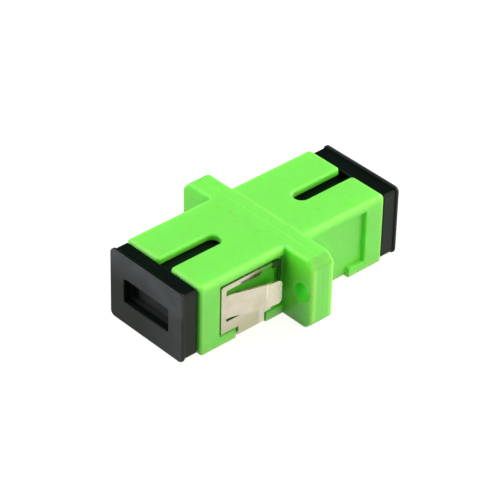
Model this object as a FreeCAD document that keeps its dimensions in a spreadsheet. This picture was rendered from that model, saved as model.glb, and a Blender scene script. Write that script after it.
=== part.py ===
import FreeCAD, Part
import os
import math
import Sketcher
import PartDesign

# Simplex fibre adapter with a two-eared panel flange, a folded spring clip and
# a dust cap in each socket.  Millimetres.
#
# Frame: X is the optical axis, Y runs across the two flange ears, Z is up with
# the key slots on top.  The origin is the point where the two ferrules meet:
# on the optical axis, at the weld between the two housing halves.  The front
# half, which wears the clip, is on -X.

os.makedirs("parts", exist_ok=True)
doc = FreeCAD.newDocument("fibre_adapter")
sheet = doc.addObject("Spreadsheet::Sheet", "dims")

DIMS = [
    # housing halves
    ("half_length", 14.0, "weld face to socket mouth"),
    ("body_wide", 12.75, "sleeve body across"),
    ("body_tall", 9.3, "sleeve body height"),
    ("body_round", 0.6, "round of the long upper edges"),
    ("foot_round", 0.25, "round of the long lower edges"),
    ("mouth_round", 0.38, "round of the mouth rim and of the key slot lips"),
    ("flange_wide", 22.0, "flange across the ears"),
    ("flange_tall", 9.4, "flange height"),
    ("flange_half", 1.69, "half of the flange thickness"),
    ("ear_bevel", 1.0, "corner bevel of the ears"),
    ("ear_soften", 0.6, "round where bevel and ear edges meet"),
    ("flange_round", 0.4, "round of the flange faces' rims"),
    ("seam_bevel", 0.015, "bevel along the weld seam"),
    ("ear_hole_pitch", 18.7, "between the two fixing holes"),
    ("ear_hole_bore", 1.17, "radius of a fixing hole"),
    ("ear_hole_round", 0.15, "round of a fixing hole's rim"),
    ("socket_wide", 9.1, "plug socket across"),
    ("socket_tall", 7.58, "plug socket height"),
    ("socket_round", 0.3, "corner radius of the socket"),
    ("seat_wide", 10.3, "seat of the holder plate across"),
    ("seat_tall", 8.3, "seat of the holder plate height"),
    ("seat_deep", 1.15, "seat depth from the weld face"),
    ("slot_wide", 2.0, "key slot across"),
    ("slot_start", 5.85, "key slot inner end from the weld face"),
    ("slot_corner", 0.95, "corner radius of the key slot's inner end"),
    ("slot_mouth", 0.55, "corner radius where the key slot meets the mouth"),
    ("side_end", 11.2, "side pocket outer end from the weld face"),
    ("side_top", 3.55, "side pocket top edge above the axis"),
    ("side_lip", 3.4, "side pocket bottom lips below the axis"),
    ("side_floor", 5.75, "side pocket floor from the axis"),
    ("side_soften", 0.15, "edge break of the side pocket"),
    ("groove_near", 2.25, "floor groove, flange side, from the weld face"),
    ("groove_far", 2.6, "floor groove, mouth side, from the weld face"),
    ("groove_floor", 5.4, "floor groove bottom from the axis"),
    ("groove_top", 2.3, "floor groove top above the axis"),
    ("groove_low", 1.6, "floor groove lower end below the axis"),
    ("gate_near", 4.15, "clip channel, flange side, from the weld face"),
    ("gate_far", 8.8, "clip channel, mouth side, from the weld face"),
    ("gate_floor", 4.38, "clip channel floor below the axis"),
    # inner holders
    ("plate_wide", 10.2, "holder plate across"),
    ("plate_tall", 8.2, "holder plate height"),
    ("plate_thick", 1.1, "holder plate thickness"),
    ("tube_outer", 2.2, "sleeve tube outer radius"),
    ("tube_inner", 1.65, "sleeve tube inner radius"),
    ("tube_reach", 6.5, "sleeve tube tip from the weld face"),
    ("tube_seat", 5.75, "end of the sleeve space from the weld face"),
    ("tube_lip", 1.45, "radius of the lead-in hole in the tube tip"),
    ("hook_outer", 3.45, "latch arm outer face from the axis"),
    ("hook_inner", 2.75, "latch arm inner face from the axis"),
    ("hook_catch", 2.3, "latch catch from the axis"),
    ("hook_tip", 9.2, "latch arm tip from the weld face"),
    ("hook_step", 8.3, "latch catch face from the weld face"),
    ("hook_tall", 3.4, "latch arm height"),
    ("hook_root", 0.3, "round at the latch arm's root"),
    # alignment sleeve
    ("sleeve_outer", 1.6, "sleeve outer radius"),
    ("sleeve_inner", 1.255, "sleeve inner radius, opened by its ferrules"),
    ("sleeve_long", 11.4, "sleeve length"),
    ("sleeve_slit", 0.5, "sleeve slit width"),
    # panel clip
    ("steel", 0.25, "sheet thickness"),
    ("clip_skin", 6.2, "outer face of the clip sides from the axis"),
    ("clip_far", 10.87, "clip side, mouth end, from the weld face"),
    ("clip_near", 2.0, "clip side, flange end, from the weld face"),
    ("clip_top", 3.16, "clip side top edge above the axis"),
    ("clip_foot", 3.25, "clip side lower edge below the axis"),
    ("bridge_near", 4.36, "bridge, flange side, from the weld face"),
    ("bridge_far", 8.25, "bridge, mouth side, from the weld face"),
    ("window_far", 10.15, "window, mouth end, from the weld face"),
    ("window_near", 2.35, "window, flange end, from the weld face"),
    ("window_step", 8.0, "where the window reaches its full height"),
    ("window_top", 2.75, "window top edge above the axis"),
    ("window_low", 1.8, "window lower edge below the axis"),
    ("window_shelf", 2.5, "window edge above the tongue's root"),
    ("window_nook", 3.2, "flange side part of the window, from the weld face"),
    ("window_dip", 2.3, "window edge in that part, above the axis"),
    ("window_soften", 0.2, "corner radius at the mouth end of the window"),
    ("heel_far", 3.3, "raised end of the clip's lower edge, from the weld face"),
    ("heel_low", 2.9, "lower edge there, below the axis"),
    ("tongue_top", 1.75, "tongue's upper edge above the axis"),
    ("tongue_low", 1.4, "tongue's lower edge below the axis"),
    ("tongue_bend", 9.5, "start of the flare from the weld face"),
    ("tongue_fold", 5.3, "crease of the tongue from the weld face"),
    ("tongue_end", 3.3, "free end of the tongue from the weld face"),
    ("tongue_rise", 1.45, "outward reach of the crease beyond the clip side"),
    ("tongue_tip", 1.68, "outward reach of the free end beyond the clip side"),
    ("tongue_corner", 0.6, "corner radius of the tongue's free end"),
    ("plate_corner", 0.35, "corner radius of the clip side"),
    ("lip_far", 7.9, "grip lip, mouth end, from the weld face"),
    ("lip_near", 4.95, "grip lip, flange end, from the weld face"),
    ("lip_low", 2.15, "grip lip lower edge above the axis"),
    ("lip_lean", 0.17, "how far the grip lip leans in"),
    # dust caps
    ("cap_reach", 2.5, "cap outer face beyond the socket mouth"),
    ("cap_gap", 0.1, "between the neck and the socket mouth"),
    ("front_over", 0.08, "front cap sits off centre, to +Y"),
    ("front_up", 0.04, "front cap sits off centre, upwards"),
    ("rear_out", 0.15, "rear cap stands further out"),
    ("rear_over", 0.04, "rear cap sits off centre, to +Y"),
    ("rear_up", -0.24, "rear cap sits off centre, upwards"),
    ("rim_thick", 0.5, "cap rim thickness"),
    ("rim_wide", 12.38, "cap rim across"),
    ("rim_tall", 9.34, "cap rim height"),
    ("rim_corner", 0.7, "cap rim corner radius"),
    ("rim_round", 0.18, "round of the cap rim's edges"),
    ("neck_wide", 12.02, "cap neck across"),
    ("neck_tall", 8.76, "cap neck height"),
    ("neck_corner", 0.35, "cap neck corner radius"),
    ("plug_wide", 8.8, "cap plug across"),
    ("plug_tall", 7.0, "cap plug height"),
    ("plug_corner", 0.4, "cap plug corner radius"),
    ("plug_tip", 6.0, "plug end from the weld face"),
    ("plug_lead", 0.25, "round of the plug's leading edge"),
    ("core_wide", 7.2, "hollow of the plug across"),
    ("core_tall", 6.1, "hollow of the plug height"),
    ("core_floor", 13.6, "bottom of the hollow from the weld face"),
    ("dish_wide", 7.53, "recess in the outer face across"),
    ("dish_tall", 3.2, "recess in the outer face height"),
    ("dish_deep", 1.7, "recess depth"),
    ("dish_step", 0.12, "step inside the recess"),
    ("dish_ledge", 0.35, "depth of the step"),
    ("dish_round", 0.12, "round of the recess rim"),
]

for row, (alias, value, note) in enumerate(DIMS, 1):
    sheet.set("A%d" % row, alias)
    sheet.set("B%d" % row, repr(value))
    sheet.set("C%d" % row, note)
    sheet.setAlias("B%d" % row, alias)
doc.recompute()


class Size:
    """A number together with the sheet expression that gives it."""

    def __init__(self, value, text):
        self.value = float(value)
        self.text = text

    def __add__(self, other):
        other = size(other)
        return Size(self.value + other.value, "(%s + %s)" % (self.text, other.text))

    def __sub__(self, other):
        other = size(other)
        return Size(self.value - other.value, "(%s - %s)" % (self.text, other.text))

    def __mul__(self, other):
        other = size(other)
        return Size(self.value * other.value, "(%s * %s)" % (self.text, other.text))

    def __truediv__(self, other):
        other = size(other)
        return Size(self.value / other.value, "(%s / %s)" % (self.text, other.text))

    def __neg__(self):
        return Size(-self.value, "(0 - %s)" % self.text)


def size(value):
    if isinstance(value, Size):
        return value
    return Size(value, repr(float(value)))


class Dims:
    """Every alias of the sheet as a Size."""

    def __init__(self):
        for alias, value, note in DIMS:
            setattr(self, alias, Size(sheet.get(alias), "dims." + alias))


D = Dims()


def settle():
    """Recompute and stop on anything that did not work."""
    doc.recompute()
    bad = [o.Name for o in doc.Objects if "Invalid" in o.State or "Error" in o.State]
    if bad:
        raise RuntimeError("failed objects: " + ", ".join(bad))


def new_body(label):
    body = doc.addObject("PartDesign::Body", label)
    body.Label = label
    return body


def new_sketch(body, name, plane, offset=None):
    sketch = body.newObject("Sketcher::SketchObject", name)
    for feature in body.Origin.OriginFeatures:
        if feature.Role == plane:
            sketch.AttachmentSupport = [(feature, "")]
    sketch.MapMode = "FlatFace"
    if offset is not None:
        sketch.AttachmentOffset = FreeCAD.Placement(
            FreeCAD.Vector(0, 0, offset.value), FreeCAD.Rotation())
        sketch.setExpression("AttachmentOffset.Base.z", offset.text)
    return sketch


def bind(sketch, constraint, expression):
    index = sketch.addConstraint(constraint)
    sketch.setExpression("Constraints[%d]" % index, expression.text)


def polygon(sketch, points):
    """A closed outline whose every corner is tied to the sheet."""
    points = [(size(x), size(y)) for x, y in points]
    first = sketch.GeometryCount
    count = len(points)
    spots = [FreeCAD.Vector(x.value, y.value, 0) for x, y in points]
    sketch.addGeometry([Part.LineSegment(spots[i], spots[(i + 1) % count])
                        for i in range(count)], False)
    for i in range(count):
        sketch.addConstraint(Sketcher.Constraint(
            "Coincident", first + i, 2, first + (i + 1) % count, 1))
    for i, (x, y) in enumerate(points):
        bind(sketch, Sketcher.Constraint("DistanceX", first + i, 1, x.value), x)
        bind(sketch, Sketcher.Constraint("DistanceY", first + i, 1, y.value), y)


def rounded(sketch, left, right, low, high, radius, foot=None):
    """A rectangle with round corners, all equal unless the lower two have their own radius."""
    foot = radius if foot is None else foot
    left, right, low, high, radius, foot = [size(v) for v in (left, right, low, high, radius, foot)]
    x0, x1, y0, y1, r, f = [v.value for v in (left, right, low, high, radius, foot)]
    V = FreeCAD.Vector
    first = sketch.GeometryCount
    Z = V(0, 0, 1)
    q = math.pi / 2
    sketch.addGeometry([
        Part.LineSegment(V(x0 + f, y0, 0), V(x1 - f, y0, 0)),
        Part.ArcOfCircle(Part.Circle(V(x1 - f, y0 + f, 0), Z, f), -q, 0),
        Part.LineSegment(V(x1, y0 + f, 0), V(x1, y1 - r, 0)),
        Part.ArcOfCircle(Part.Circle(V(x1 - r, y1 - r, 0), Z, r), 0, q),
        Part.LineSegment(V(x1 - r, y1, 0), V(x0 + r, y1, 0)),
        Part.ArcOfCircle(Part.Circle(V(x0 + r, y1 - r, 0), Z, r), q, 2 * q),
        Part.LineSegment(V(x0, y1 - r, 0), V(x0, y0 + f, 0)),
        Part.ArcOfCircle(Part.Circle(V(x0 + f, y0 + f, 0), Z, f), 2 * q, 3 * q),
    ], False)
    for i in range(8):
        sketch.addConstraint(Sketcher.Constraint(
            "Tangent", first + i, 2, first + (i + 1) % 8, 1))
    for i, j in ((1, 7), (3, 5)):
        sketch.addConstraint(Sketcher.Constraint("Equal", first + i, first + j))
    sketch.addConstraint(Sketcher.Constraint("Horizontal", first))
    bind(sketch, Sketcher.Constraint("Radius", first + 1, f), foot)
    bind(sketch, Sketcher.Constraint("Radius", first + 3, r), radius)
    bind(sketch, Sketcher.Constraint("DistanceY", first, 1, y0), low)
    bind(sketch, Sketcher.Constraint("DistanceX", first + 2, 1, x1), right)
    bind(sketch, Sketcher.Constraint("DistanceY", first + 4, 1, y1), high)
    bind(sketch, Sketcher.Constraint("DistanceX", first + 6, 1, x0), left)


def centred(sketch, wide, tall, radius, foot=None):
    rounded(sketch, -(wide / 2), wide / 2, -(tall / 2), tall / 2, radius, foot)


def circle(sketch, radius, at=None):
    first = sketch.GeometryCount
    spot = FreeCAD.Vector(at.value if at else 0, 0, 0)
    sketch.addGeometry(Part.Circle(spot, FreeCAD.Vector(0, 0, 1), radius.value), False)
    bind(sketch, Sketcher.Constraint("Radius", first, radius.value), radius)
    if at is None:
        sketch.addConstraint(Sketcher.Constraint("Coincident", first, 3, -1, 1))
    else:
        sketch.addConstraint(Sketcher.Constraint("PointOnObject", first, 3, -1))
        bind(sketch, Sketcher.Constraint("DistanceX", first, 3, at.value), at)


def extrude(body, kind, name, sketch, length=None, back=False, both=False):
    """A Pad or a Pocket.  back turns it to the other side of its sketch."""
    before = body.Tip.Shape.Volume if body.Tip else 0.0
    feature = body.newObject("PartDesign::" + kind, name)
    feature.Profile = sketch
    if both:
        feature.Midplane = True
    feature.Reversed = bool(back)
    if length is None:
        feature.Type = "ThroughAll"
    else:
        feature.Type = "Length"
        feature.Length = length.value
        feature.setExpression("Length", length.text)
    settle()
    after = feature.Shape.Volume
    moved = after - before if kind == "Pad" else before - after
    if moved <= 1e-6:
        raise RuntimeError("%s changed nothing" % name)
    print("%-24s %9.3f mm3" % (name, after))
    return feature


def pad(body, name, sketch, length, back=False, both=False):
    return extrude(body, "Pad", name, sketch, length, back, both)


def pocket(body, name, sketch, length=None, back=False, both=False):
    return extrude(body, "Pocket", name, sketch, length, back, both)


def mirror(body, name, features, plane="XZ_Plane"):
    before = body.Tip.Shape.Volume
    feature = body.newObject("PartDesign::Mirrored", name)
    feature.Originals = features
    for origin in body.Origin.OriginFeatures:
        if origin.Role == plane:
            feature.MirrorPlane = (origin, [""])
    body.Tip = feature
    settle()
    if abs(feature.Shape.Volume - before) < 1e-6:
        raise RuntimeError("%s changed nothing" % name)
    return feature


def middle(edge):
    return edge.valueAt((edge.FirstParameter + edge.LastParameter) / 2)


def dress(body, kind, name, amount, wanted):
    """A Fillet or Chamfer on the edges of the tip that wanted() picks."""
    base = body.Tip
    names = ["Edge%d" % i for i, edge in enumerate(base.Shape.Edges, 1)
             if wanted(edge, middle(edge))]
    if not names:
        raise RuntimeError("%s found no edges" % name)
    feature = body.newObject("PartDesign::" + kind, name)
    feature.Base = (base, names)
    slot = "Radius" if kind == "Fillet" else "Size"
    setattr(feature, slot, amount.value)
    feature.setExpression(slot, amount.text)
    body.Tip = feature
    settle()
    if abs(feature.Shape.Volume - base.Shape.Volume) < 1e-9:
        raise RuntimeError("%s changed nothing" % name)
    return feature


def is_round(edge):
    try:
        return edge.Curve.TypeId == "Part::GeomCircle"
    except TypeError:      # a seam where two rounds run into each other has no plain curve
        return False


def near(a, b, slack=1e-3):
    return abs(a - b) < slack


def box_of(edge):
    return edge.BoundBox


# ------------------------------------------------------------------ housing

def housing(label, side):
    """One moulded half.  side is -1 for the front half, +1 for the rear."""
    s = side
    front = side < 0
    body = new_body(label)
    long_x = D.half_length.value
    flange_x = D.flange_half.value

    # half of the flange, with bevelled ear corners
    sk = new_sketch(body, label + "_flange_sketch", "YZ_Plane")
    w, t, b = D.flange_wide / 2, D.flange_tall / 2, D.ear_bevel
    polygon(sk, [(w - b, -t), (w, -(t - b)), (w, t - b), (w - b, t),
                 (-(w - b), t), (-w, t - b), (-w, -(t - b)), (-(w - b), -t)])
    pad(body, label + "_flange", sk, D.flange_half, back=front)
    dress(body, "Fillet", label + "_ear_corners", D.ear_soften,
          lambda e, m: near(abs(m.x), flange_x / 2))
    dress(body, "Fillet", label + "_flange_rim", D.flange_round,
          lambda e, m: near(abs(m.x), flange_x))
    dress(body, "Chamfer", label + "_seam", D.seam_bevel,
          lambda e, m: near(m.x, 0))

    # the sleeve body through the flange
    sk = new_sketch(body, label + "_body_sketch", "YZ_Plane")
    centred(sk, D.body_wide, D.body_tall, D.body_round, D.foot_round)
    pad(body, label + "_sleeve", sk, D.half_length, back=front)

    # plug socket, right through the half
    sk = new_sketch(body, label + "_socket_sketch", "YZ_Plane")
    centred(sk, D.socket_wide, D.socket_tall, D.socket_round)
    pocket(body, label + "_socket", sk, back=not front)

    # seat of the holder plate at the weld face
    sk = new_sketch(body, label + "_seat_sketch", "YZ_Plane")
    centred(sk, D.seat_wide, D.seat_tall, D.socket_round)
    pocket(body, label + "_seat", sk, D.seat_deep, back=not front)

    # key slot through the top wall, open at the mouth
    sk = new_sketch(body, label + "_key_sketch", "XY_Plane")
    far = D.half_length + 2
    if front:
        rounded(sk, -far, -D.slot_start, -(D.slot_wide / 2), D.slot_wide / 2, D.slot_corner)
    else:
        rounded(sk, D.slot_start, far, -(D.slot_wide / 2), D.slot_wide / 2, D.slot_corner)
    pocket(body, label + "_key_slot", sk, back=True)
    dress(body, "Fillet", label + "_slot_mouth", D.slot_mouth,
          lambda e, m: near(abs(m.x), long_x) and near(abs(m.y), D.slot_wide.value / 2)
          and m.z > 0 and box_of(e).ZLength > 0.3 and box_of(e).YLength < 0.01)
    top = D.body_tall.value / 2

    def lips(e, m):
        bb = box_of(e)
        on_mouth = near(bb.XMin, s * long_x) and near(bb.XMax, s * long_x)
        outer = (abs(m.y) > D.socket_wide.value / 2 + 0.3 or
                 abs(m.z) > D.socket_tall.value / 2 + 0.2)
        on_top = near(bb.ZMin, top) and near(bb.ZMax, top)
        slot = on_top and abs(m.y) < D.slot_wide.value / 2 + D.slot_mouth.value + 0.05 \
            and abs(m.x) > D.slot_start.value - 0.05
        return (on_mouth and outer) or slot
    dress(body, "Fillet", label + "_mouth_lips", D.mouth_round, lips)

    # side pockets for the clip, with a lip each side of the clip channel
    sk = new_sketch(body, label + "_side_sketch", "XZ_Plane", D.side_floor)
    pts = [(D.flange_half, D.side_top), (D.side_end, D.side_top), (D.side_end, -D.side_lip),
           (D.gate_far, -D.side_lip), (D.gate_far, -D.body_tall), (D.gate_near, -D.body_tall),
           (D.gate_near, -D.side_lip), (D.flange_half, -D.side_lip)]
    polygon(sk, [(x * s, z) for x, z in pts])
    cut = pocket(body, label + "_side_pocket", sk, back=True)
    mirror(body, label + "_side_pair", [cut])

    # narrow groove in the pocket floor, beside the flange
    sk = new_sketch(body, label + "_groove_sketch", "XZ_Plane", D.groove_floor)
    polygon(sk, [(D.groove_near * s, -D.groove_low), (D.groove_far * s, -D.groove_low),
                 (D.groove_far * s, D.groove_top), (D.groove_near * s, D.groove_top)])
    cut = pocket(body, label + "_groove", sk, back=True)
    mirror(body, label + "_groove_pair", [cut])

    # clip channel across the bottom
    sk = new_sketch(body, label + "_gate_sketch", "XZ_Plane")
    polygon(sk, [(D.gate_near * s, -D.gate_floor), (D.gate_far * s, -D.gate_floor),
                 (D.gate_far * s, -D.body_tall), (D.gate_near * s, -D.body_tall)])
    pocket(body, label + "_gate", sk, both=True)

    # edge break round the mouth end of the side pockets
    skin = D.body_wide.value / 2

    def pocket_edges(e, m):
        bb = box_of(e)
        on_skin = near(abs(m.y), skin) and bb.YLength < 1e-3
        end = near(abs(m.x), D.side_end.value) and abs(m.z) < D.side_top.value
        upper = near(m.z, D.side_top.value) and abs(m.x) > flange_x + 0.2
        return on_skin and (end or upper) and bb.DiagonalLength > 1
    dress(body, "Fillet", label + "_side_edges", D.side_soften, pocket_edges)

    # fixing holes in the ears
    sk = new_sketch(body, label + "_hole_sketch", "YZ_Plane")
    circle(sk, D.ear_hole_bore, D.ear_hole_pitch / 2)
    circle(sk, D.ear_hole_bore, -(D.ear_hole_pitch / 2))
    pocket(body, label + "_ear_holes", sk, back=not front)
    dress(body, "Fillet", label + "_hole_rims", D.ear_hole_round,
          lambda e, m: is_round(e) and near(abs(m.x), flange_x)
          and near(e.Curve.Radius, D.ear_hole_bore.value))
    return body


# ------------------------------------------------------------------ holders

def holder(label, side):
    """Plate, sleeve tube and two latch hooks, moulded in one."""
    s = side
    front = side < 0
    body = new_body(label)
    sk = new_sketch(body, label + "_plate_sketch", "YZ_Plane")
    centred(sk, D.plate_wide, D.plate_tall, D.socket_round)
    pad(body, label + "_plate", sk, D.plate_thick, back=front)
    sk = new_sketch(body, label + "_tube_sketch", "YZ_Plane")
    circle(sk, D.tube_outer)
    pad(body, label + "_tube", sk, D.tube_reach, back=front)
    dress(body, "Fillet", label + "_tube_tip", D.hook_root,
          lambda e, m: is_round(e) and near(abs(m.x), D.tube_reach.value))
    dress(body, "Fillet", label + "_tube_root", D.hook_root,
          lambda e, m: is_round(e) and near(abs(m.x), D.plate_thick.value)
          and near(e.Curve.Radius, D.tube_outer.value))

    # latch hooks, one each side, with a slanted nose and a square catch
    sk = new_sketch(body, label + "_hook_sketch", "XY_Plane")
    start = D.plate_thick / 2
    nose = (D.hook_outer + D.hook_inner) / 2
    pts = [(start, -D.hook_outer), (D.hook_tip, -D.hook_outer), (D.hook_tip, -nose),
           (D.hook_step + 0.2, -D.hook_catch), (D.hook_step, -D.hook_catch),
           (D.hook_step, -D.hook_inner), (start, -D.hook_inner)]
    polygon(sk, [(x * s, y) for x, y in pts])
    hook = pad(body, label + "_hook", sk, D.hook_tall, both=True)
    mirror(body, label + "_hooks", [hook])
    dress(body, "Fillet", label + "_hook_roots", D.hook_root,
          lambda e, m: near(abs(m.x), D.plate_thick.value) and near(box_of(e).YLength, 0)
          and near(abs(m.y), D.hook_outer.value))

    # room for the sleeve, then the smaller hole that keeps it in
    sk = new_sketch(body, label + "_lead_sketch", "YZ_Plane")
    circle(sk, D.tube_lip)
    pocket(body, label + "_lead", sk, back=not front)
    sk = new_sketch(body, label + "_bore_sketch", "YZ_Plane")
    circle(sk, D.tube_inner)
    pocket(body, label + "_bore", sk, D.tube_seat, back=not front)
    return body


# ------------------------------------------------------------------ sleeve

def sleeve(label):
    body = new_body(label)
    sk = new_sketch(body, label + "_ring_sketch", "YZ_Plane")
    circle(sk, D.sleeve_outer)
    circle(sk, D.sleeve_inner)
    pad(body, label + "_ring", sk, D.sleeve_long, both=True)
    sk = new_sketch(body, label + "_slit_sketch", "XY_Plane")
    reach = D.sleeve_long / 2 + 1
    polygon(sk, [(-reach, -(D.sleeve_slit / 2)), (reach, -(D.sleeve_slit / 2)),
                 (reach, D.sleeve_slit / 2), (-reach, D.sleeve_slit / 2)])
    pocket(body, label + "_slit", sk, back=True)
    return body


# ------------------------------------------------------------------ clip

def clip(label):
    """A strip folded up both sides, each side with a window and a tongue."""
    body = new_body(label)
    skin, inner = D.clip_skin, D.clip_skin - D.steel
    low = D.gate_floor + D.steel

    # the folded strip
    sk = new_sketch(body, label + "_fold_sketch", "YZ_Plane", -D.clip_far)
    polygon(sk, [(-skin, D.clip_top), (-skin, -low), (skin, -low), (skin, D.clip_top),
                 (inner, D.clip_top), (inner, -D.gate_floor),
                 (-inner, -D.gate_floor), (-inner, D.clip_top)])
    pad(body, label + "_fold", sk, D.clip_far - D.clip_near)
    dress(body, "Fillet", label + "_bend_inside", D.steel * 0.4,
          lambda e, m: near(m.z, -D.gate_floor.value) and near(abs(m.y), inner.value)
          and box_of(e).XLength > 1)
    dress(body, "Fillet", label + "_bend_outside", D.steel * 1.4,
          lambda e, m: near(m.z, -low.value) and near(abs(m.y), skin.value)
          and box_of(e).XLength > 1)

    # the bridge is narrower than the sides
    sk = new_sketch(body, label + "_trim_sketch", "XZ_Plane")
    polygon(sk, [(-(D.clip_far + 1), -D.clip_foot), (-(D.clip_far + 1), -D.body_tall),
                 (-D.bridge_far, -D.body_tall), (-D.bridge_far, -D.clip_foot)])
    polygon(sk, [(-D.bridge_near, -D.clip_foot), (-D.bridge_near, -D.body_tall),
                 (-(D.clip_near - 1), -D.body_tall), (-(D.clip_near - 1), -D.heel_low),
                 (-D.heel_far, -D.heel_low), (-D.heel_far, -D.clip_foot)])
    pocket(body, label + "_trim", sk, both=True)

    # the windows that the tongues are cut from
    sk = new_sketch(body, label + "_window_sketch", "XZ_Plane")
    polygon(sk, [(-D.window_far, -D.window_low), (-D.window_far, D.window_shelf),
                 (-D.window_step, D.window_shelf), (-D.window_step, D.window_top),
                 (-D.window_nook, D.window_top), (-D.window_nook, D.window_dip),
                 (-D.window_near, D.window_dip), (-D.window_near, -D.window_low)])
    pocket(body, label + "_windows", sk, both=True)
    dress(body, "Fillet", label + "_window_ends", D.window_soften,
          lambda e, m: box_of(e).YLength > 0.2 and box_of(e).XLength < 1e-3
          and box_of(e).ZLength < 1e-3 and near(m.x, -D.window_far.value))
    dress(body, "Fillet", label + "_plate_corners", D.plate_corner,
          lambda e, m: box_of(e).YLength > 0.2 and box_of(e).XLength < 1e-3
          and box_of(e).ZLength < 1e-3 and near(m.z, D.clip_top.value))

    # tongue: flares out, then a flatter end beyond the crease
    sk = new_sketch(body, label + "_tongue_sketch", "XY_Plane", -D.tongue_low)
    root = D.window_far + 0.2
    fold = skin + D.tongue_rise
    tip = skin + D.tongue_tip
    polygon(sk, [(-root, -skin), (-D.tongue_bend, -skin), (-D.tongue_fold, -fold),
                 (-D.tongue_end, -tip), (-D.tongue_end, -(tip - D.steel)),
                 (-D.tongue_fold, -(fold - D.steel * 1.05)),
                 (-D.tongue_bend, -inner), (-root, -inner)])
    tongue = pad(body, label + "_tongue", sk, D.tongue_low + D.tongue_top)
    pair = mirror(body, label + "_tongues", [tongue])
    dress(body, "Fillet", label + "_tongue_corners", D.tongue_corner,
          lambda e, m: near(m.x, -D.tongue_end.value) and box_of(e).ZLength < 1e-3
          and box_of(e).YLength > 0.1 and abs(m.y) > skin.value + 0.5)
    dress(body, "Fillet", label + "_crease", size(0.5),
          lambda e, m: near(m.x, -D.tongue_fold.value) and box_of(e).ZLength > 1)
    dress(body, "Fillet", label + "_flare", size(2.5),
          lambda e, m: near(m.x, -D.tongue_bend.value) and box_of(e).ZLength > 1
          and near(abs(m.y), skin.value))

    # grip lip leaning in from the top strip of each side
    sk = new_sketch(body, label + "_lip_sketch", "YZ_Plane", -D.lip_far)
    polygon(sk, [(-skin, D.window_top + 0.05), (-(skin - D.lip_lean), D.lip_low),
                 (-(inner - D.lip_lean + 0.03), D.lip_low), (-inner, D.window_top + 0.05)])
    lip = pad(body, label + "_lip", sk, D.lip_far - D.lip_near)
    mirror(body, label + "_lips", [lip])
    return body


# ------------------------------------------------------------------ caps

def cap(label, side):
    """Soft moulded cap: rim, neck and a hollow plug, with a recess outside."""
    s = side
    front = side < 0
    body = new_body(label)
    face = D.half_length + D.cap_reach
    face_x = face.value
    rim_x = (face - D.rim_thick).value

    sk = new_sketch(body, label + "_rim_sketch", "YZ_Plane", face * s)
    centred(sk, D.rim_wide, D.rim_tall, D.rim_corner)
    pad(body, label + "_rim", sk, D.rim_thick, back=not front)
    dress(body, "Fillet", label + "_rim_edges", D.rim_round,
          lambda e, m: near(abs(m.x), face_x) or near(abs(m.x), rim_x))

    sk = new_sketch(body, label + "_neck_sketch", "YZ_Plane", (face - D.rim_thick / 2) * s)
    centred(sk, D.neck_wide, D.neck_tall, D.neck_corner)
    pad(body, label + "_neck", sk, D.cap_reach - D.rim_thick / 2 - D.cap_gap, back=not front)
    dress(body, "Fillet", label + "_neck_edge", D.rim_round,
          lambda e, m: near(abs(m.x), (D.half_length + D.cap_gap).value))

    sk = new_sketch(body, label + "_plug_sketch", "YZ_Plane", (D.half_length + 0.5) * s)
    centred(sk, D.plug_wide, D.plug_tall, D.plug_corner)
    pad(body, label + "_plug", sk, D.half_length + 0.5 - D.plug_tip, back=not front)
    dress(body, "Fillet", label + "_plug_lead", D.plug_lead,
          lambda e, m: near(abs(m.x), D.plug_tip.value))

    sk = new_sketch(body, label + "_core_sketch", "YZ_Plane", D.plug_tip * s)
    centred(sk, D.core_wide, D.core_tall, D.socket_round)
    pocket(body, label + "_core", sk, D.core_floor - D.plug_tip, back=not front)

    sk = new_sketch(body, label + "_dish_sketch", "YZ_Plane", face * s)
    centred(sk, D.dish_wide, D.dish_tall, D.socket_round)
    pocket(body, label + "_dish", sk, D.dish_ledge, back=front)
    sk = new_sketch(body, label + "_dish_floor_sketch", "YZ_Plane", face * s)
    centred(sk, D.dish_wide - D.dish_step * 2, D.dish_tall - D.dish_step * 2, D.socket_round)
    pocket(body, label + "_dish_floor", sk, D.dish_deep, back=front)
    dress(body, "Fillet", label + "_dish_rim", D.dish_round,
          lambda e, m: near(abs(m.x), face_x) and abs(m.y) < D.dish_wide.value / 2 + 0.01
          and abs(m.z) < D.dish_tall.value / 2 + 0.01)

    # how the cap sits in its socket
    if front:
        body.setExpression("Placement.Base.y", D.front_over.text)
        body.setExpression("Placement.Base.z", D.front_up.text)
    else:
        body.setExpression("Placement.Base.x", D.rear_out.text)
        body.setExpression("Placement.Base.y", D.rear_over.text)
        body.setExpression("Placement.Base.z", D.rear_up.text)
    settle()
    return body


bodies = [
    housing("housing_front", -1),
    housing("housing_rear", 1),
    holder("holder_front", -1),
    holder("holder_rear", 1),
    sleeve("split_sleeve"),
    clip("panel_clip"),
    cap("cap_front", -1),
    cap("cap_rear", 1),
]

settle()
for body in bodies:
    shape = body.Shape
    if shape.isNull() or not shape.isValid() or len(shape.Solids) != 1:
        raise RuntimeError("%s is not one sound solid" % body.Label)
for body in bodies:
    shape = body.Shape
    box = shape.BoundBox
    print("%-14s %8.2f mm3  X %.2f..%.2f  Y %.2f..%.2f  Z %.2f..%.2f" % (
        body.Label, shape.Volume, box.XMin, box.XMax, box.YMin, box.YMax, box.ZMin, box.ZMax))
    shape.exportStep("parts/%s.step" % body.Label)
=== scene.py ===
import math

import bpy
from mathutils import Matrix, Vector


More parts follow.
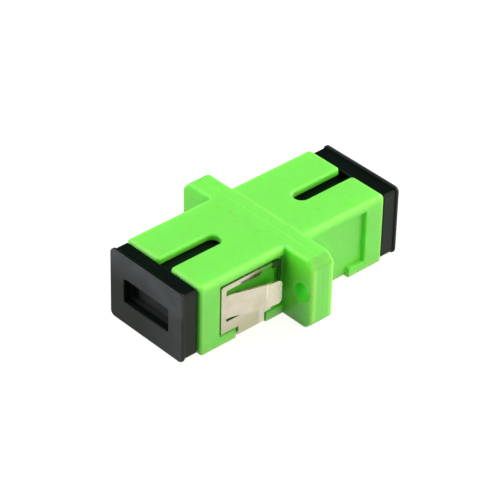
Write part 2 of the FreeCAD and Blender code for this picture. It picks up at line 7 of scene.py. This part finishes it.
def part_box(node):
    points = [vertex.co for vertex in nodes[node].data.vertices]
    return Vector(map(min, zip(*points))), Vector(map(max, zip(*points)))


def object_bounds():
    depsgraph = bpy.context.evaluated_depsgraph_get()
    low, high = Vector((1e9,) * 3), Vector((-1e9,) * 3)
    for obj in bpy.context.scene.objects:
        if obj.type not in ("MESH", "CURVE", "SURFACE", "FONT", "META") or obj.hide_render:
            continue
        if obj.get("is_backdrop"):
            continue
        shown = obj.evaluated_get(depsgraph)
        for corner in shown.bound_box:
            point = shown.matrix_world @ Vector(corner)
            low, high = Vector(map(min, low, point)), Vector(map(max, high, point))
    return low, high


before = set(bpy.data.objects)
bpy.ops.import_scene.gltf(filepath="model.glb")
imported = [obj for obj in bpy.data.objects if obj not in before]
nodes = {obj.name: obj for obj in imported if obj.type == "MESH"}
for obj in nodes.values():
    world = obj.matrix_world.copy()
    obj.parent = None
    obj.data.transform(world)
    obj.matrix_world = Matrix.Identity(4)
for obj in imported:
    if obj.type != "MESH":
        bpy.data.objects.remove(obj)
cad_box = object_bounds()
scene = bpy.context.scene


def numbers(value):
    """Plain nested lists of floats from whatever holds vectors."""
    if isinstance(value, (int, float)):
        return float(value)
    return [numbers(v) for v in value]


# ---------------------------------------------------------------- node helpers

class Graph:
    """A small wrapper that keeps the node materials below readable."""

    def __init__(self, name):
        self.material = bpy.data.materials.new(name)
        self.material.use_nodes = True
        self.tree = self.material.node_tree
        self.tree.nodes.clear()
        self.out = self.add("ShaderNodeOutputMaterial")
        self.shader = self.add("ShaderNodeBsdfPrincipled")
        self.link(self.shader.outputs["BSDF"], self.out.inputs["Surface"])
        coords = self.add("ShaderNodeTexCoord")
        scale = self.add("ShaderNodeMapping")
        scale.inputs["Scale"].default_value = (1000, 1000, 1000)   # millimetres
        self.link(coords.outputs["Object"], scale.inputs["Vector"])
        self.mm = scale.outputs["Vector"]

    def add(self, kind, **values):
        node = self.tree.nodes.new(kind)
        for key, value in values.items():
            setattr(node, key, value)
        return node

    def link(self, a, b):
        self.tree.links.new(a, b)

    def set(self, **values):
        for key, value in values.items():
            self.shader.inputs[key.replace("_", " ")].default_value = value

    def stretched(self, scale, rotation=(0, 0, 0)):
        node = self.add("ShaderNodeMapping")
        node.inputs["Scale"].default_value = scale
        node.inputs["Rotation"].default_value = rotation
        self.link(self.mm, node.inputs["Vector"])
        return node.outputs["Vector"]

    def noise(self, scale, detail=3.0, rough=0.55, vector=None, distortion=0.0):
        node = self.add("ShaderNodeTexNoise")
        node.inputs["Scale"].default_value = scale
        node.inputs["Detail"].default_value = detail
        node.inputs["Roughness"].default_value = rough
        node.inputs["Distortion"].default_value = distortion
        self.link(vector or self.mm, node.inputs["Vector"])
        return node.outputs["Fac"]

    def voronoi(self, scale, vector=None):
        node = self.add("ShaderNodeTexVoronoi")
        node.inputs["Scale"].default_value = scale
        self.link(vector or self.mm, node.inputs["Vector"])
        return node.outputs["Distance"]

    def remap(self, value, low, high, to_low, to_high):
        node = self.add("ShaderNodeMapRange")
        node.inputs["From Min"].default_value = low
        node.inputs["From Max"].default_value = high
        node.inputs["To Min"].default_value = to_low
        node.inputs["To Max"].default_value = to_high
        self.link(value, node.inputs["Value"])
        return node.outputs["Result"]

    def blend(self, factor, a, b):
        node = self.add("ShaderNodeMix", data_type="RGBA")
        self.link(factor, node.inputs["Factor"])
        for socket, value in ((node.inputs[6], a), (node.inputs[7], b)):
            if isinstance(value, tuple):
                socket.default_value = (*value, 1)
            else:
                self.link(value, socket)
        return node.outputs[2]

    def mix(self, factor, a, b):
        """A number between a and b, either of them a socket or a plain value."""
        node = self.add("ShaderNodeMix", data_type="FLOAT")
        self.link(factor, node.inputs["Factor"])
        for socket, value in ((node.inputs[2], a), (node.inputs[3], b)):
            if isinstance(value, (int, float)):
                socket.default_value = value
            else:
                self.link(value, socket)
        return node.outputs[0]

    def maths(self, what, a, b=None):
        node = self.add("ShaderNodeMath", operation=what)
        for socket, value in ((node.inputs[0], a), (node.inputs[1], b)):
            if isinstance(value, (int, float)):
                socket.default_value = value
            elif value is not None:
                self.link(value, socket)
        return node.outputs[0]

    def axes(self):
        node = self.add("ShaderNodeSeparateXYZ")
        self.link(self.mm, node.inputs["Vector"])
        return node.outputs

    def inside(self, low, high, soft):
        """1 inside a box given in millimetres, with X taken as its absolute value."""
        x, y, z = self.axes()
        x = self.maths("ABSOLUTE", x)
        out = None
        for value, a, b in ((x, low[0], high[0]), (y, low[1], high[1]), (z, low[2], high[2])):
            part = self.maths("MULTIPLY", self.remap(value, a - soft, a + soft, 0, 1),
                              self.remap(value, b - soft, b + soft, 1, 0))
            out = part if out is None else self.maths("MULTIPLY", out, part)
        return out

    def ramp(self, value, *steps):
        """Product of straight ramps: each step is (where it is 0, where it is 1)."""
        out = None
        for a, b in steps:
            part = self.remap(value, a, b, 0, 1)
            out = part if out is None else self.maths("MULTIPLY", out, part)
        return out

    def product(self, *values):
        out = values[0]
        for value in values[1:]:
            out = self.maths("MULTIPLY", out, value)
        return out

    def bump(self, height, distance, strength=1.0, under=None):
        node = self.add("ShaderNodeBump")
        node.inputs["Distance"].default_value = distance
        node.inputs["Strength"].default_value = strength
        self.link(height, node.inputs["Height"])
        if under is not None:
            self.link(under, node.inputs["Normal"])
        return node.outputs["Normal"]


def srgb(r, g, b):
    """Linear colour from 0..255 screen values."""
    def one(v):
        v = v / 255
        return v / 12.92 if v <= 0.04045 else ((v + 0.055) / 1.055) ** 2.4
    return (one(r), one(g), one(b))


# ---------------------------------------------------------------- materials

def painted_edge_highlights(g):
    """Painted highlight, 1 along the housing's long and mouth rims: a paler colour standing in for the light these
    rounded rims catch and let through.
    """
    x, y, z = [g.maths("ABSOLUTE", v) for v in g.axes()]
    long_edge = g.product(g.ramp(x, (1.9, 2.2)), g.ramp(y, (5.5, 6.0)), g.ramp(z, (3.75, 4.25)))
    mouth = g.product(g.ramp(x, (13.4, 13.8)),
                      g.maths("MAXIMUM", g.ramp(y, (5.7, 6.1)), g.ramp(z, (4.0, 4.4))))
    return g.maths("MINIMUM", g.maths("ADD", long_edge, mouth), 1.0)


def painted_flange_highlights(g):
    """Painted highlight along the ends and tops of the ears on both faces of the flange, standing in for the light
    those rims catch.
    """
    along = g.axes()[0]
    x, y, z = [g.maths("ABSOLUTE", v) for v in g.axes()]
    near_face = g.ramp(x, (0.8, 1.35), (1.85, 1.75))
    ends = g.ramp(y, (10.35, 10.75))
    ears_or_rear = g.maths("MAXIMUM", g.ramp(y, (6.0, 6.6)), g.ramp(along, (0.0, 0.5)))
    tops = g.product(g.ramp(z, (4.15, 4.5)), g.ramp(x, (1.05, 1.45)), ears_or_rear)
    return g.product(near_face, g.maths("MAXIMUM", ends, g.maths("MULTIPLY", tops, 0.3)))


def weld_line(g):
    """The weld of the halves, a hair-thin pale line across the top of the flange."""
    x, y, z = g.axes()
    return g.product(g.ramp(g.maths("ABSOLUTE", x), (0.10, 0.03)), g.ramp(g.maths("ABSOLUTE", z), (4.5, 4.6)))


# Painted shade: marks the faces of the ears, which get a darker, more saturated green, darkest next to the body.
def painted_ear_face_shade(g):
    x, y, z = [g.maths("ABSOLUTE", v) for v in g.axes()]
    return g.product(g.ramp(x, (1.5, 1.64), (1.85, 1.75)), g.ramp(y, (6.3, 6.5), (10.9, 10.5)))


def ear_bevels(g):
    x, y, z = [g.maths("ABSOLUTE", v) for v in g.axes()]
    return g.product(g.ramp(x, (1.6, 1.3)), g.ramp(g.maths("ADD", y, z), (14.5, 14.62)),
                     g.remap(g.noise(0.7, 3, 0.5), 0.35, 0.6, 0.5, 1.0))


def painted_bore_shading(g):
    """Inside the fixing holes, where painted shade and light go: darker at the top, paler at the bottom."""
    x, y, z = [g.maths("ABSOLUTE", v) for v in g.axes()]
    off = g.maths("SUBTRACT", y, 9.35)
    reach = g.maths("SQRT", g.maths("ADD", g.maths("MULTIPLY", off, off), g.maths("MULTIPLY", z, z)))
    return g.product(g.ramp(x, (1.66, 1.5)), g.ramp(reach, (1.3, 1.22)))


def painted_hole_rim_highlights(g):
    """Painted highlight: a thin pale ring round each fixing hole, standing in for the light its rounded rim catches."""
    x, y, z = [g.maths("ABSOLUTE", v) for v in g.axes()]
    off = g.maths("SUBTRACT", y, 9.35)
    reach = g.maths("SQRT", g.maths("ADD", g.maths("MULTIPLY", off, off), g.maths("MULTIPLY", z, z)))
    return g.product(g.ramp(x, (1.45, 1.6)), g.ramp(reach, (1.2, 1.32), (1.58, 1.46)))


def painted_key_slot_shade(g):
    """Painted shade: the walls of the key slots, given a darker, more saturated green."""
    x, y, z = [g.maths("ABSOLUTE", v) for v in g.axes()]
    return g.product(g.ramp(x, (5.5, 5.7)), g.ramp(y, (1.35, 1.15)), g.ramp(z, (3.6, 3.7), (4.5, 4.35)))


def painted_pocket_shade(g):
    """Painted shade: the floor of the clip's pocket, given a darker, more saturated green where the clip shades it."""
    x, y, z = g.axes()
    y, z = g.maths("ABSOLUTE", y), g.maths("ABSOLUTE", z)
    return g.product(g.ramp(x, (-11.3, -11.0), (-2.2, -2.6)), g.ramp(y, (5.6, 5.68), (5.9, 5.8)), g.ramp(z, (3.6, 3.4)))


def green_plastic(name, base, dark, light, edge_highlight=None):
    """Moulded plastic: faint flow mottling, a fine satin grain, soft scattering; given an edge-highlight colour, also
    painted highlights and shade on the housing.
    """
    g = Graph(name)
    flow = g.noise(0.09, 4, 0.5, g.stretched((0.35, 1, 1)), 0.6)
    grain = g.noise(1.6, 5, 0.6)
    fine = g.noise(9.0, 3, 0.6)
    colour = g.blend(g.remap(flow, 0.3, 0.7, 0, 1), dark, base)
    colour = g.blend(g.remap(grain, 0.35, 0.75, 0, 0.35), colour, light)
    if edge_highlight:
        # painted highlight: paler along the body's long and mouth rims
        colour = g.blend(painted_edge_highlights(g), colour, edge_highlight)
        # painted highlight: paler along the rims of the flange
        colour = g.blend(painted_flange_highlights(g), colour, (0.385, 0.97, 0.160))
        # painted shade: the ear faces darker and more saturated, most of all next to the body
        painted_near_body_shade = g.ramp(g.maths("ABSOLUTE", g.axes()[1]), (7.6, 6.5))
        colour = g.blend(painted_ear_face_shade(g), colour, g.blend(painted_near_body_shade, (0.190, 0.92, 0.060), (0.110, 0.72, 0.032)))
        colour = g.blend(ear_bevels(g), colour, (0.165, 0.63, 0.070))
        # painted shade and light in the fixing holes: darker at the top, paler at the bottom
        painted_bore_light = g.ramp(g.axes()[2], (0.5, -0.9))
        colour = g.blend(painted_bore_shading(g), colour, g.blend(painted_bore_light, (0.055, 0.80, 0.016), (0.125, 0.92, 0.060)))
        # painted highlight: a pale ring round each fixing hole
        colour = g.blend(painted_hole_rim_highlights(g), colour, (0.265, 0.94, 0.110))
        colour = g.blend(weld_line(g), colour, (0.232, 0.845, 0.128))
        # painted shade: the key slot walls darker and more saturated
        colour = g.blend(painted_key_slot_shade(g), colour, (0.140, 0.70, 0.055))
        # painted shade: the floor of the clip pocket darker and more saturated
        colour = g.blend(painted_pocket_shade(g), colour, (0.100, 0.58, 0.040))
    g.link(colour, g.shader.inputs["Base Color"])
    g.link(g.remap(grain, 0.3, 0.7, 0.27, 0.38), g.shader.inputs["Roughness"])
    waves = g.bump(g.noise(0.35, 3, 0.5), 0.00003, 0.25)
    g.link(g.bump(fine, 0.000003, 0.3, waves), g.shader.inputs["Normal"])
    # The halves meet at X = 0: light that would cross the joint is turned back there,
    # so the depth it reaches shrinks to nothing towards the joint.
    x = g.maths("ABSOLUTE", g.axes()[0])
    g.link(g.remap(x, 0.02, 1.7, 0.00004, 0.0015), g.shader.inputs["Subsurface Scale"])
    g.set(IOR=1.46, Specular_IOR_Level=0.45, Subsurface_Weight=1.0,
          Subsurface_Radius=(0.20, 1.0, 0.09))
    return g.material


def cap_plastic(name):
    """Soft black moulded plastic: fine matt grain and stray specks, with a charcoal sheen painted on the outer face and
    the rim's sides.
    The recess in the outer face kept the rough, greyer skin of its mould."""
    g = Graph(name)
    cloud = g.noise(0.25, 4, 0.55)
    grain = g.noise(7.0, 4, 0.65)
    speck = g.voronoi(1.1)
    colour = g.blend(g.remap(cloud, 0.3, 0.7, 0, 1), (0.0022, 0.0054, 0.0040), (0.0030, 0.0068, 0.0050))
    colour = g.blend(g.remap(speck, 0.0, 0.09, 0.6, 0.0), colour, (0.02, 0.022, 0.021))
    inside = g.inside((14.0, -3.6, -1.5), (15.6, 3.7, 1.6), 0.12)
    colour = g.blend(inside, colour, (0.040, 0.048, 0.046))
    x, y, z = g.axes()
    out = g.maths("ABSOLUTE", x)
    face = g.remap(out, 16.3, 16.38, 0, 1)
    # painted sheen: the narrow sides of the rim are a shade greyer than its outer face, standing in for the light they
    # catch
    painted_rim_side_sheen = g.product(g.ramp(out, (14.2, 14.5), (16.38, 16.3)), g.ramp(g.maths("ABSOLUTE", y), (5.78, 5.88)))
    colour = g.blend(painted_rim_side_sheen, colour, (0.0130, 0.0185, 0.0160))
    # painted reflection on the outer face: paler towards the top and the -Y side, mottled, standing in for the bright
    # table it mirrors
    painted_face_sheen = g.maths("MINIMUM", g.maths("ADD", g.ramp(z, (0.5, 4.2)), g.maths("MULTIPLY", g.ramp(y, (1.0, -5.0)), 0.55)), 1.0)
    painted_face_sheen = g.maths("MULTIPLY", painted_face_sheen, g.remap(g.noise(0.3, 3, 0.55), 0.35, 0.65, 0.6, 1))
    colour = g.blend(g.maths("MULTIPLY", face, painted_face_sheen), colour, (0.062, 0.072, 0.080))
    g.link(colour, g.shader.inputs["Base Color"])
    rough = g.remap(grain, 0.3, 0.7, 0.27, 0.36)
    g.link(g.mix(inside, rough, 0.6), g.shader.inputs["Roughness"])
    waves = g.bump(g.noise(0.5, 3, 0.5), 0.00003, 0.3)
    g.link(g.bump(grain, 0.000005, 0.45, waves), g.shader.inputs["Normal"])
    g.set(IOR=1.43, Specular_IOR_Level=0.145)
    return g.material


def rolled_steel(name):
    """Thin stainless strip: soft cream and lilac mottling under a faint rolling grain."""
    g = Graph(name)
    grain = g.noise(14.0, 3, 0.6, g.stretched((0.12, 1, 1)))
    mottle = g.noise(0.75, 3, 0.5)
    tint = g.noise(0.5, 2, 0.5, g.stretched((1, 1, 1), (0.7, 0.3, 0.2)))
    colour = g.blend(g.remap(mottle, 0.32, 0.68, 0, 1), (0.525, 0.495, 0.378), (0.625, 0.585, 0.470))
    colour = g.blend(g.remap(tint, 0.4, 0.65, 0, 0.5), colour, (0.62, 0.545, 0.48))
    # where the spring is bent: a painted highlight along the fold across the tongue, and painted shade on
    # the parts that lean inwards, a dark green standing in for the shaded pocket they mirror
    x, y, z = g.axes()
    y, high = g.maths("ABSOLUTE", y), z
    painted_fold_glint = g.product(g.ramp(x, (-5.5, -5.3), (-5.05, -5.25)), g.ramp(y, (6.7, 6.9)),
                       g.ramp(z, (-0.9, 0.6)), g.remap(mottle, 0.35, 0.6, 0.4, 1.0))
    # painted shade: darker and duller towards the bottom of the strip
    colour = g.blend(g.ramp(high, (-1.6, -3.4)), colour, (0.480, 0.470, 0.315))
    # painted light: paler from the fold towards the flange
    colour = g.blend(g.ramp(x, (-5.3, -4.9)), colour, (0.650, 0.615, 0.500))
    colour = g.blend(painted_fold_glint, colour, (0.80, 0.74, 0.59))
    # painted shade: the inward-leaning parts dark green, standing in for the shaded pocket floor they reflect
    painted_lip_reflection = g.product(g.ramp(x, (-8.1, -7.7), (-4.9, -5.1)), g.ramp(high, (2.05, 2.15), (2.75, 2.6)))
    painted_heel_reflection = g.product(g.ramp(x, (-3.45, -3.25)), g.ramp(y, (6.6, 6.4)), g.ramp(high, (-1.6, -1.4)))
    colour = g.blend(g.maths("MAXIMUM", painted_lip_reflection, painted_heel_reflection), colour, (0.150, 0.185, 0.120))
    g.link(colour, g.shader.inputs["Base Color"])
    g.link(g.remap(mottle, 0.3, 0.7, 0.22, 0.30), g.shader.inputs["Roughness"])
    dents = g.bump(g.noise(0.6, 2, 0.5), 0.00001, 0.3)
    g.link(g.bump(grain, 0.000001, 0.3, dents), g.shader.inputs["Normal"])
    g.set(Metallic=1.0, Anisotropic=0.2)
    return g.material


def zirconia(name):
    """Ground and polished off-white ceramic."""
    g = Graph(name)
    cloud = g.noise(1.5, 3, 0.5)
    turned = g.noise(30.0, 2, 0.5, g.stretched((1, 0.05, 0.05)))
    colour = g.blend(g.remap(cloud, 0.3, 0.7, 0, 1), (0.86, 0.84, 0.78), (0.92, 0.90, 0.86))
    g.link(colour, g.shader.inputs["Base Color"])
    g.link(g.remap(turned, 0.3, 0.7, 0.10, 0.2), g.shader.inputs["Roughness"])
    g.link(g.bump(turned, 0.000001, 0.3), g.shader.inputs["Normal"])
    g.set(IOR=2.1)
    return g.material


housing = green_plastic("housing_green", (0.205, 0.80, 0.110), (0.200, 0.785, 0.106), (0.220, 0.82, 0.122),
                        (0.270, 0.87, 0.135))
holder = green_plastic("holder_green", (0.17, 0.70, 0.09), (0.165, 0.68, 0.085), (0.18, 0.72, 0.10))
black = cap_plastic("cap_black")
steel = rolled_steel("clip_steel")
ceramic = zirconia("sleeve_ceramic")

FINISH = {
    "housing_front": housing, "housing_rear": housing,
    "holder_front": holder, "holder_rear": holder,
    "split_sleeve": ceramic, "panel_clip": steel,
    "cap_front": black, "cap_rear": black,
}
for name, material in FINISH.items():
    node = nodes[name]
    node.data.materials.clear()
    node.data.materials.append(material)

# ---------------------------------------------------------------- floor

low, high = cad_box
ground = min(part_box(n)[0].z for n in nodes)


def flat_sheet(name, half, z):
    mesh = bpy.data.meshes.new(name)
    mesh.from_pydata([(-half, -half, z), (half, -half, z), (half, half, z), (-half, half, z)],
                     [], [(0, 1, 2, 3)])
    thing = bpy.data.objects.new(name, mesh)
    scene.collection.objects.link(thing)
    return thing


def sheet_finish(thing, low, high, glow, strength):
    g = Graph(thing.name + "_white")
    g.link(g.blend(g.noise(0.02, 2, 0.5), low, high), g.shader.inputs["Base Color"])
    g.set(Roughness=0.6, Specular_IOR_Level=0.2, Emission_Color=(*glow, 1), Emission_Strength=strength)
    thing.data.materials.append(g.material)
    thing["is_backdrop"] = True


# The lit white table is seen and mirrored; what it adds to the diffuse light is the
# work of a duller sheet at the same height.
floor = flat_sheet("floor", 1.5, ground)
sheet_finish(floor, (0.295, 0.295, 0.290), (0.305, 0.305, 0.302), (0.93, 0.93, 0.89), 1.0)
floor.visible_diffuse = False
floor.visible_shadow = False
under = flat_sheet("floor_bounce", 1.5, ground)
sheet_finish(under, (0.295, 0.295, 0.290), (0.305, 0.305, 0.302), (1, 1, 1), 0.0)
under.visible_shadow = False
under.visible_camera = False
under.visible_glossy = False
under.visible_transmission = False

# ---------------------------------------------------------------- light

world = bpy.data.worlds.new("studio")
world.use_nodes = True
world.node_tree.nodes["Background"].inputs["Color"].default_value = (1, 1, 1, 1)
world.node_tree.nodes["Background"].inputs["Strength"].default_value = 0.02
scene.world = world


def softbox(name, azimuth, elevation, power, colour=(1, 1, 1), size=0.26, distance=0.42):
    a, e = math.radians(azimuth), math.radians(elevation)
    where = Vector((math.cos(e) * math.cos(a), math.cos(e) * math.sin(a), math.sin(e))) * distance
    lamp = bpy.data.lights.new(name, "AREA")
    lamp.shape = "SQUARE"
    lamp.size = size
    lamp.energy = power
    lamp.color = colour
    thing = bpy.data.objects.new(name, lamp)
    thing.location = where
    thing.rotation_euler = where.to_track_quat("Z", "Y").to_euler()
    scene.collection.objects.link(thing)
    return thing


softbox("right_key", 313, 35, 1.32, (1.0, 0.95, 0.74), 0.45)
softbox("right_low", 270, 22, 0.72, (1.0, 0.94, 0.70))
softbox("left_key", 135, 35, 1.88, (1, 1, 1), 0.45)
softbox("back_low", 0, 22, 1.06)
softbox("back_high", 0, 58, 0.29)
softbox("far_side", 90, 35, 0.10)

# ---------------------------------------------------------------- camera

lens = bpy.data.cameras.new("camera")
lens.sensor_width = 36
lens.lens = 188.86186
lens.clip_start = 0.01
lens.clip_end = 10
eye = bpy.data.objects.new("camera", lens)
right = Vector((0.7407621, -0.6714560, 0.0204496))
up = Vector((0.3786496, 0.4424907, 0.8129124))
back = Vector((-0.5548837, -0.5944315, 0.5820270))
where = Vector((-0.1667060, -0.1775171, 0.1742459))
eye.matrix_world = Matrix((
    (right.x, up.x, back.x, where.x),
    (right.y, up.y, back.y, where.y),
    (right.z, up.z, back.z, where.z),
    (0, 0, 0, 1)))
scene.collection.objects.link(eye)
scene.camera = eye

scene.view_settings.view_transform = "Standard"
scene.view_settings.look = "None"
scene.view_settings.exposure = 0
scene.view_settings.gamma = 1

{"cad": numbers(cad_box), "visual": numbers(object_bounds())}
